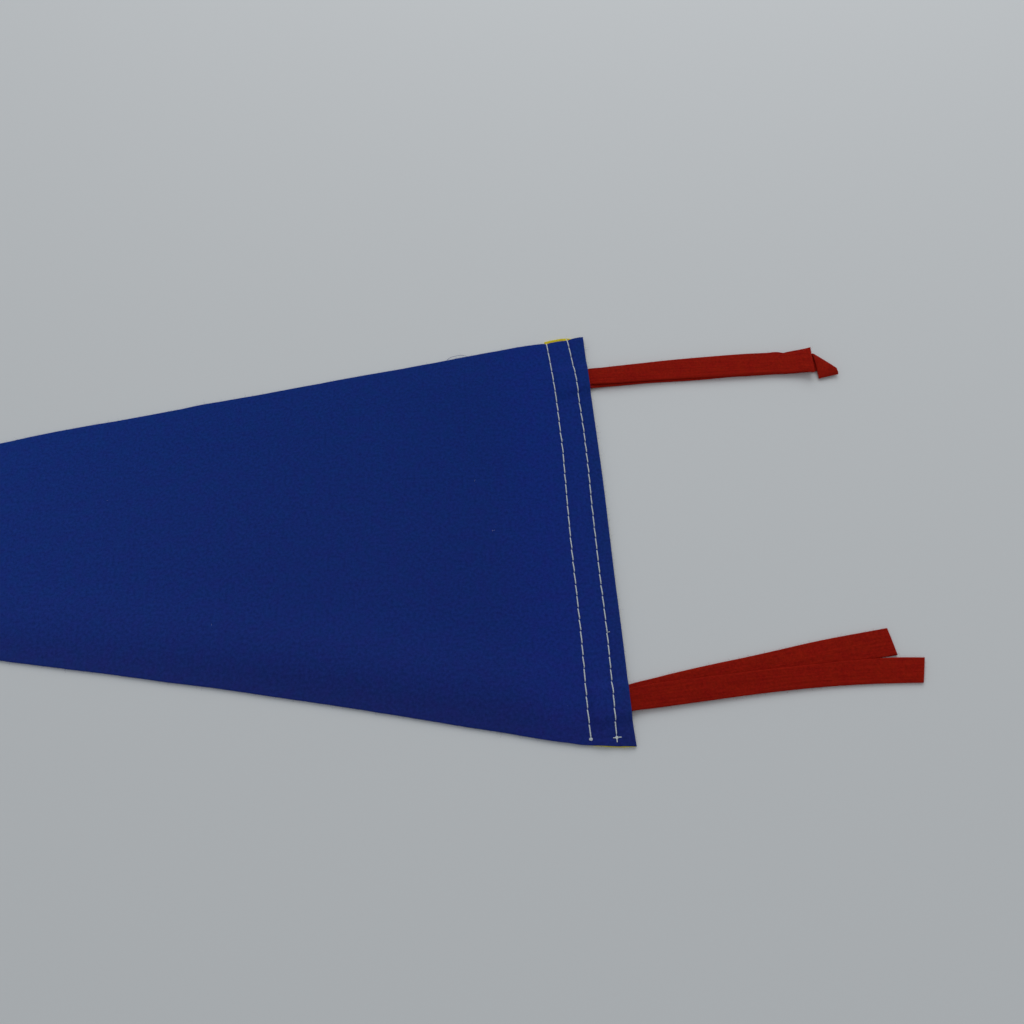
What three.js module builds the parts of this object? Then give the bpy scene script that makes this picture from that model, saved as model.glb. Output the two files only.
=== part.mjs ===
import * as THREE from "three";

// A pennant flag lying back side up on a flat surface, in millimetres, +Z up.
// In the tables x is measured from the hoist edge: the point of the pennant is at the
// far end of -x and the ties reach out to +x. The whole flag is moved at the end, so
// that the origin lies on the surface under the middle of the heading strip.

const CLOTH = 1.0; // thickness of every sheet
const GAP = 0.3; // clear space between two sheets that lie on each other
const LAYER = CLOTH + GAP;

const BLUE = 0x1e3685;
const YELLOW = 0xe6bc30;
const RED = 0x951e16;

// The heading strip lies flat, with its ends cut a little past the field's edge.
const HEADING_WIDTH = 13.9;
const HEADING_SET_BACK = 0.4; // from the hoist edge to the strip's own edge
const HEADING_UPPER_END = [
  { x: -HEADING_SET_BACK, y: 76.6 },
  { x: -6.0, y: 77.6 },
  { x: -HEADING_WIDTH, y: 77.2 },
];
const HEADING_LOWER_END = [
  { x: -HEADING_WIDTH, y: -75.0 },
  { x: -7.0, y: -75.6 },
  { x: -HEADING_SET_BACK, y: -76.2 },
];

// The two long edges of the field, from the blunt point to the hoist.
const FIELD_LENGTH = 410;
const FIELD_UPPER_EDGE = [
  { x: -FIELD_LENGTH, y: 11.8 },
  { x: -204, y: 45.3 },
  { x: -38, y: 72.3 },
  { x: -23, y: 73.6 },
  { x: -8, y: 75.1 },
  { x: 0, y: 76.35 },
];
const FIELD_LOWER_EDGE = [
  { x: -FIELD_LENGTH, y: 9.3 },
  { x: -190, y: -35.6 },
  { x: -141, y: -45.5 },
  { x: -98, y: -54.8 },
  { x: -57, y: -64.5 },
  { x: -28, y: -71.9 },
  { x: -16, y: -74.7 },
  { x: 0, y: -76.3 },
];

// Soft swells where the field stands a little off the surface.
const SWELLS = [
  { x: -95, y: -8, reachX: 75, reachY: 75, height: 1.2 },
  { x: -215, y: 2, reachX: 90, reachY: 60, height: 1.0 },
  { x: -330, y: 8, reachX: 70, reachY: 30, height: 0.6 },
];
const EDGE_ROLL = 14; // width of the band in which a swell comes down to an edge

// The field climbs onto the heading strip over this slope.
const BED_START = -34;
const BED_FULL = -14.6;

// Over the folded root of each tie the field rises over two more layers.
const ROOT_END = -9.5;
const HUMP_MARGIN = 1.1; // level cloth past the root on each side
const HUMP_SLOPE = 3.6; // width of the slope round the hump

// Each tie is one strip folded at its root. A row gives the middle of the strip, its
// width and the height of its underside, from the root to the free end.
const TOP_TIE = {
  name: "tie_top",
  lower: [
    { x: ROOT_END, y: 56.0, width: 7.2, base: LAYER },
    { x: 0.5, y: 57.3, width: 7.5, base: LAYER },
    { x: 9, y: 58.6, width: 7.8, base: 0 },
    { x: 20, y: 59.2, width: 8.0, base: 0 },
    { x: 42, y: 59.6, width: 8.1, base: 0 },
    { x: 58, y: 60.0, width: 8.1, base: 0 },
    { x: 68, y: 59.8, width: 8.0, base: 0.2 },
    { x: 74, y: 59.1, width: 7.9, base: 0.7 },
  ],
  upper: [
    { x: ROOT_END, y: 56.0, width: 7.2, base: 2 * LAYER },
    { x: 0.5, y: 57.3, width: 7.2, base: 2 * LAYER },
    { x: 9, y: 58.5, width: 7.9, base: LAYER },
    { x: 20, y: 59.15, width: 8.2, base: LAYER },
    { x: 42, y: 60.0, width: 8.9, base: LAYER },
    { x: 58, y: 60.3, width: 9.1, base: LAYER },
    { x: 66.5, y: 60.1, width: 9.3, base: 1.45 },
    { x: 69.5, y: 59.7, width: 8.9, base: 1.6 },
    { x: 73, y: 59.7, width: 9.6, base: 1.9 },
    { x: 79.9, y: 59.1, width: 10.3, base: 2.8 },
  ],
};
const BOTTOM_TIE = {
  name: "tie_bottom",
  lower: [
    { x: ROOT_END, y: -63.1, width: 7.8, base: LAYER },
    { x: 0.5, y: -61.1, width: 7.9, base: LAYER },
    { x: 9, y: -59.3, width: 8.2, base: 0 },
    { x: 20, y: -57.2, width: 8.4, base: 0 },
    { x: 42, y: -53.8, width: 8.7, base: 0 },
    { x: 62, y: -50.9, width: 8.9, base: 0 },
    { x: 83, y: -48.3, width: 9.05, base: 0 },
  ],
  upper: [
    { x: ROOT_END, y: -63.1, width: 7.8, base: 2 * LAYER },
    { x: 0.5, y: -62.3, width: 7.6, base: 2 * LAYER },
    { x: 9, y: -61.1, width: 7.5, base: LAYER },
    { x: 20, y: -60.4, width: 7.2, base: LAYER },
    { x: 42, y: -59.0, width: 7.0, base: LAYER },
    { x: 62, y: -58.2, width: 7.1, base: LAYER },
    { x: 74, y: -57.8, width: 7.3, base: LAYER },
    { x: 83, y: -57.7, width: 7.6, base: 0.3 },
    { x: 90.7, y: -58.0, width: 7.8, base: 0, slant: 2.3 },
  ],
};
const TIES = [TOP_TIE, BOTTOM_TIE];

// The end of the top tie's lower tail is turned over along a slanting fold. Left is the
// edge nearer the flag's upper side.
const FOLD_LINE = {
  left: new THREE.Vector3(80.6, 61.4, 1.6),
  right: new THREE.Vector3(87.0, 54.1, 2.7),
};
const FLAP_END = {
  left: new THREE.Vector3(80.6, 51.6, 2.9),
  right: new THREE.Vector3(87.1, 52.0, 3.8),
};

// Fineness of the meshes
const COLUMN_STEP = 14; // along the field
const FINE_COLUMN_STEP = 1.5; // near the hoist, over the heading and the roots
const FINE_FROM = -20;
const ROW_STEP = 9; // across the field
const HUMP_ROWS = [0, 0.25, 0.5, 0.75, 1]; // rows on each slope of a hump, in shares of it
const TIE_STRIPS = 2; // facets across a tie
const FOLD_STEPS = 6; // facets round a fold
const BLEND_STEPS = 3; // sections between a square one and a slanting one

const UP = new THREE.Vector3(0, 0, 1);

function smooth(t) {
  const s = THREE.MathUtils.clamp(t, 0, 1);
  return s * s * (3 - 2 * s);
}

// Reads one column of a table at x, with straight lines between the rows.
function readTable(rows, column, x) {
  const next = rows.findIndex((row) => row.x >= x);
  if (next <= 0) {
    return rows[next === 0 ? 0 : rows.length - 1][column];
  }
  const before = rows[next - 1];
  const after = rows[next];
  const share = (x - before.x) / (after.x - before.x);
  return THREE.MathUtils.lerp(before[column], after[column], share);
}

function swellHeight(x, y) {
  let height = 0;
  for (const swell of SWELLS) {
    const spread = ((x - swell.x) / swell.reachX) ** 2 + ((y - swell.y) / swell.reachY) ** 2;
    height += swell.height * Math.max(0, 1 - spread) ** 2;
  }
  const fromLower = y - readTable(FIELD_LOWER_EDGE, "y", x);
  const fromUpper = readTable(FIELD_UPPER_EDGE, "y", x) - y;
  return height * smooth(fromLower / EDGE_ROLL) * smooth(fromUpper / EDGE_ROLL);
}

// The middle and half width of the root's footprint at x.
function rootSpan(tie, x) {
  const middle = readTable(tie.upper, "y", x);
  const half = readTable(tie.upper, "width", x) / 2 + HUMP_MARGIN;
  return { middle, half };
}

function humpHeight(x, y) {
  let height = 0;
  for (const tie of TIES) {
    const span = rootSpan(tie, x);
    const beside = Math.abs(y - span.middle) - span.half;
    const behind = ROOT_END - LAYER - x;
    height += 2 * LAYER * smooth(1 - beside / HUMP_SLOPE) * smooth(1 - behind / HUMP_SLOPE);
  }
  return height;
}

// Height of the field's underside above the surface.
function fieldBase(x, y) {
  const onHeading = smooth((x - BED_START) / (BED_FULL - BED_START));
  return THREE.MathUtils.lerp(swellHeight(x, y), LAYER, onHeading) + humpHeight(x, y);
}

// One line of points across the field at x, from its lower edge to its upper edge.
function fieldColumn(x) {
  const low = readTable(FIELD_LOWER_EDGE, "y", x);
  const high = readTable(FIELD_UPPER_EDGE, "y", x);
  const humpRows = [];
  for (const tie of x > FINE_FROM ? TIES : []) {
    const span = rootSpan(tie, x);
    for (const share of HUMP_ROWS) {
      const reach = span.half + share * HUMP_SLOPE;
      humpRows.push(span.middle - reach, span.middle + reach);
    }
  }
  const count = Math.max(1, Math.round((high - low) / ROW_STEP));
  const rows = [...humpRows];
  for (let i = 0; i <= count; i += 1) {
    const y = THREE.MathUtils.lerp(low, high, i / count);
    if (humpRows.every((other) => Math.abs(other - y) > ROW_STEP / 4)) {
      rows.push(y);
    }
  }
  rows.sort((a, b) => a - b);
  return rows.map((y) => ({ x, y, share: (y - low) / (high - low) }));
}

// Corner indices of the triangles between two neighbouring columns of points.
function zipColumns(near, far) {
  const triangles = [];
  let i = 0;
  let j = 0;
  while (i < near.length - 1 || j < far.length - 1) {
    const stepNear = j === far.length - 1
      || (i < near.length - 1 && near[i + 1].share <= far[j + 1].share);
    if (stepNear) {
      triangles.push([near[i], far[j], near[i + 1]]);
      i += 1;
    } else {
      triangles.push([near[i], far[j], far[j + 1]]);
      j += 1;
    }
  }
  return triangles;
}

// A sheet with a level or wavy underside: columns of points run from -x to +x.
function sheetGeometry(columns, baseAt) {
  const positions = [];
  for (const point of columns.flat()) {
    point.index = positions.length / 3;
    const base = baseAt(point.x, point.y);
    positions.push(point.x, point.y, base, point.x, point.y, base + CLOTH);
  }
  const indices = [];
  for (let c = 1; c < columns.length; c += 1) {
    for (const [a, b, d] of zipColumns(columns[c - 1], columns[c])) {
      indices.push(a.index + 1, b.index + 1, d.index + 1, a.index, d.index, b.index);
    }
  }
  const lowerEdge = columns.map((column) => column[0]);
  const upperEdge = columns.map((column) => column[column.length - 1]).reverse();
  const pointEnd = [...columns[0]].reverse();
  for (const chain of [lowerEdge, columns[columns.length - 1], upperEdge, pointEnd]) {
    for (let k = 1; k < chain.length; k += 1) {
      const p = chain[k - 1].index;
      const q = chain[k].index;
      indices.push(p, q, q + 1, p, q + 1, p + 1);
    }
  }
  const geometry = new THREE.BufferGeometry();
  geometry.setAttribute("position", new THREE.Float32BufferAttribute(positions, 3));
  geometry.setIndex(indices);
  return geometry;
}

// Cross sections of one tail, from its root to its free end. The outer face of the
// folded strip looks up where facing is 1 and down where it is -1.
function tailSections(rows, facing) {
  return rows.map((row, i) => {
    const before = rows[Math.max(0, i - 1)];
    const after = rows[Math.min(rows.length - 1, i + 1)];
    const along = new THREE.Vector3(after.x - before.x, after.y - before.y, 0).normalize();
    const across = new THREE.Vector3(-along.y, along.x, 0);
    const middle = new THREE.Vector3(row.x, row.y, row.base + CLOTH / 2);
    const cut = along.clone().multiplyScalar((row.slant ?? 0) / 2);
    return {
      left: middle.clone().addScaledVector(across, row.width / 2).add(cut),
      right: middle.clone().addScaledVector(across, -row.width / 2).sub(cut),
      normal: UP.clone().multiplyScalar(facing),
    };
  });
}

// Sections round a fold whose lower side lies at the given section. Outward is the
// level direction in which the fold bulges.
function foldSections(section, outward) {
  const radius = LAYER / 2;
  const sections = [];
  for (let i = 1; i < FOLD_STEPS; i += 1) {
    const angle = Math.PI * i / FOLD_STEPS;
    const shift = outward.clone().multiplyScalar(radius * Math.sin(angle));
    shift.addScaledVector(UP, radius * (1 - Math.cos(angle)));
    const normal = outward.clone().multiplyScalar(Math.sin(angle));
    normal.addScaledVector(UP, -Math.cos(angle));
    sections.push({ left: section.left.clone().add(shift), right: section.right.clone().add(shift), normal });
  }
  return sections;
}

// Sections between two others, without either.
function blendSections(from, to) {
  const sections = [];
  for (let i = 1; i < BLEND_STEPS; i += 1) {
    const share = i / BLEND_STEPS;
    sections.push({
      left: from.left.clone().lerp(to.left, share),
      right: from.right.clone().lerp(to.right, share),
      normal: from.normal.clone(),
    });
  }
  return sections;
}

// A section on a slanting line that holds the heights of its underside.
function slantSection(line, lift, facing) {
  const raise = new THREE.Vector3(0, 0, lift + CLOTH / 2);
  return {
    left: line.left.clone().add(raise),
    right: line.right.clone().add(raise),
    normal: UP.clone().multiplyScalar(facing),
  };
}

// The end of a tail, continued to the slanting fold and turned over on itself. The
// sections run from the tail to the cut end of the flap.
function turnedOverEnd(lastSection) {
  const foldBelow = slantSection(FOLD_LINE, 0, -1);
  const foldAbove = slantSection(FOLD_LINE, LAYER, 1);
  const flapEnd = slantSection(FLAP_END, 0, 1);
  const foldAlong = FOLD_LINE.left.clone().sub(FOLD_LINE.right).setZ(0).normalize();
  const outward = new THREE.Vector3(foldAlong.y, -foldAlong.x, 0);
  return [
    ...blendSections(lastSection, foldBelow),
    foldBelow,
    ...foldSections(foldBelow, outward),
    foldAbove,
    ...blendSections(foldAbove, flapEnd),
    flapEnd,
  ];
}

// A band of even thickness swept through its sections.
function bandGeometry(sections) {
  const positions = [];
  const ringLength = 2 * (TIE_STRIPS + 1);
  for (const section of sections) {
    const half = section.normal.clone().multiplyScalar(CLOTH / 2);
    for (let k = 0; k <= TIE_STRIPS; k += 1) {
      const point = section.left.clone().lerp(section.right, k / TIE_STRIPS).add(half);
      positions.push(...point.toArray());
    }
    for (let k = TIE_STRIPS; k >= 0; k -= 1) {
      const point = section.left.clone().lerp(section.right, k / TIE_STRIPS).sub(half);
      positions.push(...point.toArray());
    }
  }
  const indices = [];
  for (let s = 1; s < sections.length; s += 1) {
    const near = (s - 1) * ringLength;
    const far = s * ringLength;
    for (let k = 0; k < ringLength; k += 1) {
      const next = (k + 1) % ringLength;
      indices.push(near + k, near + next, far + next, near + k, far + next, far + k);
    }
  }
  const end = (sections.length - 1) * ringLength;
  for (let k = 0; k < TIE_STRIPS; k += 1) {
    const opposite = ringLength - 1 - k;
    indices.push(k, opposite, opposite - 1, k, opposite - 1, k + 1);
    indices.push(end + k, end + k + 1, end + opposite - 1, end + k, end + opposite - 1, end + opposite);
  }
  const geometry = new THREE.BufferGeometry();
  geometry.setAttribute("position", new THREE.Float32BufferAttribute(positions, 3));
  geometry.setIndex(indices);
  return geometry;
}

function clothMesh(name, geometry, color) {
  geometry.computeVertexNormals();
  const mesh = new THREE.Mesh(geometry, new THREE.MeshStandardMaterial({ color, roughness: 0.95, metalness: 0 }));
  mesh.name = name;
  return mesh;
}

function field() {
  const columns = [];
  for (let x = -FIELD_LENGTH; x < FINE_FROM; x += COLUMN_STEP) {
    columns.push(fieldColumn(x));
  }
  for (let x = FINE_FROM; x < 0; x += FINE_COLUMN_STEP) {
    columns.push(fieldColumn(x));
  }
  columns.push(fieldColumn(0));
  return clothMesh("field", sheetGeometry(columns, fieldBase), BLUE);
}

function heading() {
  const outline = [...HEADING_UPPER_END, ...HEADING_LOWER_END].map(({ x, y }) => new THREE.Vector2(x, y));
  const geometry = new THREE.ExtrudeGeometry(new THREE.Shape(outline), { depth: CLOTH, bevelEnabled: false });
  return clothMesh("heading", geometry, YELLOW);
}

function tie(pattern, lowerTailEnd) {
  const lower = tailSections(pattern.lower, -1);
  const upper = tailSections(pattern.upper, 1);
  const root = foldSections(lower[0], new THREE.Vector3(-1, 0, 0));
  const freeEnd = lowerTailEnd ? lowerTailEnd(lower[lower.length - 1]).reverse() : [];
  const sections = [...freeEnd, ...lower.reverse(), ...root, ...upper];
  return clothMesh(pattern.name, bandGeometry(sections), RED);
}

const pennant = new THREE.Group();
pennant.add(field(), heading(), tie(TOP_TIE, turnedOverEnd), tie(BOTTOM_TIE));
pennant.position.x = HEADING_WIDTH / 2;

export default pennant;
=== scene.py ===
# %% [markdown]
# # A pennant flag, lying back side up
#
# The flag is sewn from four pieces of cut cloth: a long blue field, a yellow heading
# strip under its hoist edge, and two red ties whose folded roots are held between the
# two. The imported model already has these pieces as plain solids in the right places.
# This lesson dresses them: it lays a finer sheet of cloth where each solid is, sews the
# sheets with real stitches, and gives every cloth the nap, colour and cut edges of felt.
#
# The frame comes first, because everything else is measured from it. Lengths in the
# tables are millimetres. x is counted from the hoist edge, where the ties come out.

import math
import random

import bpy
import numpy as np
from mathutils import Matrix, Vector, noise


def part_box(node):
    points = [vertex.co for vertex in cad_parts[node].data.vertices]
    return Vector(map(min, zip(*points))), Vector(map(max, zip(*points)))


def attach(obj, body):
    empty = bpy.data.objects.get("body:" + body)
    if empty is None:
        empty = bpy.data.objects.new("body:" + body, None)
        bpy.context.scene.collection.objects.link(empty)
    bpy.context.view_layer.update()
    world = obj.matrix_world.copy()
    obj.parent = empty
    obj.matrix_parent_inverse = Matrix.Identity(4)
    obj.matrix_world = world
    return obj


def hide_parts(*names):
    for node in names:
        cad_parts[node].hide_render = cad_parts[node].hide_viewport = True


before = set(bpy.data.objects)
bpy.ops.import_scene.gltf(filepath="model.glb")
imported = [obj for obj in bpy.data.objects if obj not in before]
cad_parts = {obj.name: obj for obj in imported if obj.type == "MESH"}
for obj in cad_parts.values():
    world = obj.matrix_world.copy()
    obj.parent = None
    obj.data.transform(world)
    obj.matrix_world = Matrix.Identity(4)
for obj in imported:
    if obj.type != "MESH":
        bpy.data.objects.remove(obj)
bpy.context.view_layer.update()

MM = 0.001
BODY = "root"
HOIST_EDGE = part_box("field")[1].x / MM
FIELD_LENGTH = HOIST_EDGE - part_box("field")[0].x / MM
print("the field reaches", round(FIELD_LENGTH, 1), "mm back from its hoist edge")

# %% [markdown]
# ## The camera
#
# The photograph looks down on the flag from the near side, leaning 30 degrees from the
# vertical, from about 355 mm away. A camera is placed by where it stands and what it
# aims at, which is easier to check than three angles. The lens is worked out from the
# picture's own perspective, so near and far stitches shrink as they do in the photo.

# %% Camera
PICTURE_SIZE = 1024
FOCAL_LENGTH = 1079  # in pixels of the picture
CAMERA_PLACE = Vector((-0.03601, -0.17188, 0.30945))
CAMERA_AIM = Vector((-0.02368, 0.00503, 0.0023))


def in_scene(name, data):
    """A new object in the scene, with this mesh, camera or light."""
    made = bpy.data.objects.new(name, data)
    bpy.context.scene.collection.objects.link(made)
    return made


def aimed(name, data, place, aim):
    """A camera or light that stands at one place and looks at another."""
    made = in_scene(name, data)
    made.location = place
    made.rotation_euler = (aim - place).to_track_quat("-Z", "Y").to_euler()
    return made


camera_data = bpy.data.cameras.new("camera")
camera_data.lens = camera_data.sensor_width * FOCAL_LENGTH / PICTURE_SIZE
camera_data.clip_start = 0.01
bpy.context.scene.camera = aimed("camera", camera_data, CAMERA_PLACE, CAMERA_AIM)
print("lens", round(camera_data.lens, 2), "mm")

# %% [markdown]
# ## Short tables and smooth curves
#
# A cutter marks a few points along an edge and joins them by eye. The same is done here:
# each edge, stitch row and tie is a short table with named columns, and a smooth curve
# runs through its rows. Straight lines between the rows would leave corners that catch
# the light, and long lists of points would hide what the shape is.

# %% Tables and curves
def table(columns, *rows):
    """A short table. Its first column is the one that the others are read at, and values
    left out at the end of a row are 0."""
    names = columns.split()
    full_rows = [row + (0.0,) * (len(names) - len(row)) for row in rows]
    return {name: np.array(values, float) for name, values in zip(names, zip(*full_rows))}


def read(rows, column, at):
    """One column of a table at any place, on a smooth curve through its rows."""
    key = next(iter(rows.values()))
    values = rows[column]
    slopes = np.gradient(values, key)
    k = np.clip(np.searchsorted(key, at) - 1, 0, len(key) - 2)
    span = key[k + 1] - key[k]
    t = np.clip((at - key[k]) / span, 0, 1)
    start = (1 + 2 * t) * (1 - t) ** 2 * values[k] + t * (1 - t) ** 2 * span * slopes[k]
    end = t * t * (3 - 2 * t) * values[k + 1] - t * t * (1 - t) * span * slopes[k + 1]
    return start + end


def soft_step(t):
    """0 below 0, 1 above 1 and a soft rise between."""
    t = np.clip(t, 0, 1)
    return t * t * (3 - 2 * t)


def bump(distance, reach):
    """A soft mound: 1 in the middle and next to nothing past its reach."""
    return np.exp(-(distance / reach) ** 2)


def uneven(x, y, lump, seed):
    """Gentle unevenness from about -1 to 1, with lumps of this size in mm."""
    x, y = np.broadcast_arrays(x, y)
    pairs = zip(x.ravel(), y.ravel())
    return np.array([noise.noise((a / lump, b / lump, seed)) for a, b in pairs]).reshape(x.shape)


# %% [markdown]
# ## The rows of stitches
#
# Two rows of thick white thread hold heading, ties and field together. They are long
# machine stitches, a little over 4 mm each, and wander as a hand-guided seam does. The
# needle holes are worked out before any cloth is made, because the cloth dips at each.

# %% Rows and needle holes
# How far the hoist edge bows out, and how far from it the bow reaches into the cloth.
HOIST_BOW = table(
    "y outward",
    (-76.0, 0.46), (-68.0, 0.15), (-50.0, 0.32), (-35.0, 0.4), (-23.0, 0.38), (-6.0, 0.53),
    (15.0, 0.7), (32.0, 0.62), (48.0, 0.47), (64.0, 0.3), (77.0, 0.25),
)
BOW_REACH = 12.0
INNER_ROW = table(
    "y x",
    (-72.5, -12.75), (-64.0, -12.85), (-56.0, -12.68), (-43.0, -12.38), (-28.0, -12.3),
    (-8.0, -12.3), (7.0, -12.1), (18.0, -11.87), (29.0, -11.65), (40.0, -11.8), (47.0, -11.85),
    (56.0, -12.2), (65.0, -12.6), (75.2, -13.3),
)
OUTER_ROW = table(
    "y x",
    (-72.2, -5.15), (-62.0, -4.83), (-49.0, -4.43), (-36.0, -4.22), (-22.0, -4.28), (-8.0, -4.2),
    (5.0, -4.08), (18.0, -3.8), (29.0, -3.68), (40.0, -3.75), (49.0, -4.0), (57.0, -4.15),
    (64.0, -4.6), (70.5, -5.1), (77.0, -5.8),
)
STITCH_LENGTH = 4.2
STITCH_VARIATION = 0.09  # share by which a stitch is longer or shorter than the next


def needle_holes(row, seed):
    """Places of the needle holes along a row, from its upper to its lower end."""
    rng = random.Random(seed)
    low, high = row["y"][0], row["y"][-1]
    count = round((high - low) / STITCH_LENGTH)
    steps = np.array([1 + rng.uniform(-STITCH_VARIATION, STITCH_VARIATION) for _ in range(count)])
    y = high - (high - low) * np.concatenate([[0], np.cumsum(steps)]) / steps.sum()
    return read(row, "x", y), y


ROWS = [INNER_ROW, OUTER_ROW]
HOLES = [needle_holes(row, seed) for seed, row in enumerate(ROWS, start=5)]
print("stitches in the two rows:", [len(x) - 1 for x, _ in HOLES])


def near_rows(x, y):
    """How near places are to a stitch row and to a needle hole, in mm."""
    to_row = np.full(x.shape, np.inf)
    to_hole = np.full(x.shape, np.inf)
    for row, (hole_x, hole_y) in zip(ROWS, HOLES):
        past_end = np.maximum(0, np.maximum(row["y"][0] - y, y - row["y"][-1]))
        to_row = np.minimum(to_row, np.hypot(x - read(row, "x", y), past_end))
        upward = np.searchsorted(hole_y[::-1], y)
        for k in (upward - 1, upward):
            k = len(hole_y) - 1 - np.clip(k, 0, len(hole_y) - 1)
            to_hole = np.minimum(to_hole, np.hypot(x - hole_x[k], y - hole_y[k]))
    return to_row, to_hole


# %% [markdown]
# ## How a sheet of felt is made
#
# Felt is a thick, soft sheet with no threads to fray, so a cut edge is a rounded wall as
# high as the cloth. A plane with a Solidify modifier would give a knife-cut square edge,
# and its points could not be finer at the seam than elsewhere. So each sheet is built as
# columns of points, each column as fine as it needs to be, with a skin above and below
# and a rim. Near a cut edge the two skins draw together, which rounds the edge.

# %% Sheets from columns of points
EDGE_ROUND = 0.42  # how far in from a cut edge the rounding reaches, mm
EDGE_SHARE = 0.38  # share of the thickness left at the very edge


def rounded(distance):
    """Share of the cloth's thickness that is left this near to a cut edge."""
    t = np.clip(distance / EDGE_ROUND, 0, 1)
    return EDGE_SHARE + (1 - EDGE_SHARE) * np.sqrt(1 - (1 - t) ** 2)


def zip_columns(near, far, near_share, far_share):
    """Triangles between two columns of point numbers."""
    triangles = []
    i = j = 0
    while i < len(near) - 1 or j < len(far) - 1:
        step_near = j == len(far) - 1 or (i < len(near) - 1 and near_share[i + 1] <= far_share[j + 1])
        if step_near:
            triangles.append((near[i], far[j], near[i + 1]))
            i += 1
        else:
            triangles.append((near[i], far[j], far[j + 1]))
            j += 1
    return triangles


def rim_loop(columns):
    """(column, place in it) of each point along the cut edge, once round the sheet."""
    last = len(columns) - 1
    loop = [(c, 0) for c in range(last)]
    loop += [(last, k) for k in range(len(columns[last]["middle"]) - 1)]
    loop += [(c, len(columns[c]["middle"]) - 1) for c in range(last, 0, -1)]
    loop += [(0, k) for k in range(len(columns[0]["middle"]) - 1, 0, -1)]
    return loop


def new_piece(name, points, faces, flat_place, from_edge, material):
    """An object with these points in mm. Its material reads two things at each point, in
    metres: where it lay on the flat cloth and how far it is from a cut edge."""
    placed = points * MM
    placed[:, 0] += HOIST_EDGE * MM
    mesh = bpy.data.meshes.new(name)
    mesh.from_pydata(placed.tolist(), [], faces)
    mesh.polygons.foreach_set("use_smooth", [True] * len(mesh.polygons))
    for label, kind, field_name, values in (
        ("flat_place", "FLOAT_VECTOR", "vector", flat_place.ravel()),
        ("from_edge", "FLOAT", "value", from_edge),
    ):
        mesh.attributes.new(label, kind, "POINT").data.foreach_set(field_name, values)
    mesh.materials.append(material)
    print(name, "has", len(mesh.polygons), "faces")
    return in_scene(name, mesh)


def sheet_object(name, columns, material):
    """A closed sheet of cloth. Each column holds its middle points, normals, half
    thicknesses, shares along the column, places on the flat cloth and edge distances."""
    starts = np.cumsum([0] + [len(column["middle"]) for column in columns])
    count = starts[-1]
    middle, normal, half, place, edge = (
        np.concatenate([column[key] for column in columns])
        for key in ("middle", "normal", "half", "place", "edge")
    )
    offset = normal * (half * rounded(edge))[:, None]
    points = np.concatenate([middle + offset, middle - offset])

    faces = []
    for c in range(len(columns) - 1):
        near = range(starts[c], starts[c + 1])
        far = range(starts[c + 1], starts[c + 2])
        faces += zip_columns(near, far, columns[c]["share"], columns[c + 1]["share"])
    faces += [(c + count, b + count, a + count) for a, b, c in faces]
    loop = [starts[c] + k for c, k in rim_loop(columns)]
    for a, b in zip(loop, loop[1:] + loop[:1]):
        faces.append((a + count, b + count, b, a))

    faces = [tuple(int(k) for k in face) for face in faces]
    flat_place = np.concatenate([place, place]) * MM
    flat_place = np.column_stack([flat_place, np.repeat([0.0, 1.0], count)])
    return new_piece(name, points, faces, flat_place, np.tile(edge, 2) * MM, material)


# %% [markdown]
# ## Effects that all the cloths share
#
# All four pieces are cut from felt, so they share three effects: matted fibres that
# cross in every direction, a cut edge where the ends of the fibres stand out and look
# paler, and stray lint. Each effect is a shader node group with named inputs, so that
# one recipe serves every colour. Image textures could do the same, but a procedure has
# no pixels to show in a close view and no seams at the folds.

# %% Helpers for nodes
def feed(tree, node, inputs):
    """Gives each of these inputs of a node a value, or a link from another socket."""
    for name, value in dict(inputs).items():
        if isinstance(value, bpy.types.NodeSocket):
            tree.links.new(value, node.inputs[name])
        else:
            node.inputs[name].default_value = value


def add(tree, kind, inputs=(), **settings):
    """Adds a shader node, sets its settings and feeds its inputs."""
    made = tree.nodes.new(kind)
    for name, value in settings.items():
        setattr(made, name, value)
    feed(tree, made, inputs)
    return made


def math_node(tree, operation, *values, clamp=False):
    """Adds a Math node and returns its output."""
    settings = {"operation": operation, "use_clamp": clamp}
    return add(tree, "ShaderNodeMath", enumerate(values), **settings).outputs[0]


def vector_node(tree, operation, first, second):
    """Adds a Vector Math node that takes two vectors."""
    return add(tree, "ShaderNodeVectorMath", {0: first, 1: second}, operation=operation)


def noise_in(tree, place, scale, detail, **others):
    """Adds a noise texture and returns its value, from 0 to 1."""
    inputs = {"Vector": place, "Scale": scale, "Detail": detail, **others}
    return add(tree, "ShaderNodeTexNoise", inputs).outputs["Fac"]


def mixed(tree, factor, first, second):
    """Mixes two colours and returns the result."""
    return add(tree, "ShaderNodeMix", {0: factor, 6: first, 7: second}, data_type="RGBA").outputs[2]


def new_group(name, inputs, outputs):
    """Starts a node group. Inputs are (name, socket type, value), outputs are names of
    plain numbers. Returns the group, the sockets it is given and its output node."""
    group = bpy.data.node_groups.new(name, "ShaderNodeTree")
    for label, kind, value in inputs:
        socket = group.interface.new_socket(label, in_out="INPUT", socket_type=kind)
        if value is not None:
            socket.default_value = value
    for label in outputs:
        group.interface.new_socket(label, in_out="OUTPUT", socket_type="NodeSocketFloat")
    print("group:", name)
    return group, group.nodes.new("NodeGroupInput").outputs, group.nodes.new("NodeGroupOutput")


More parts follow.
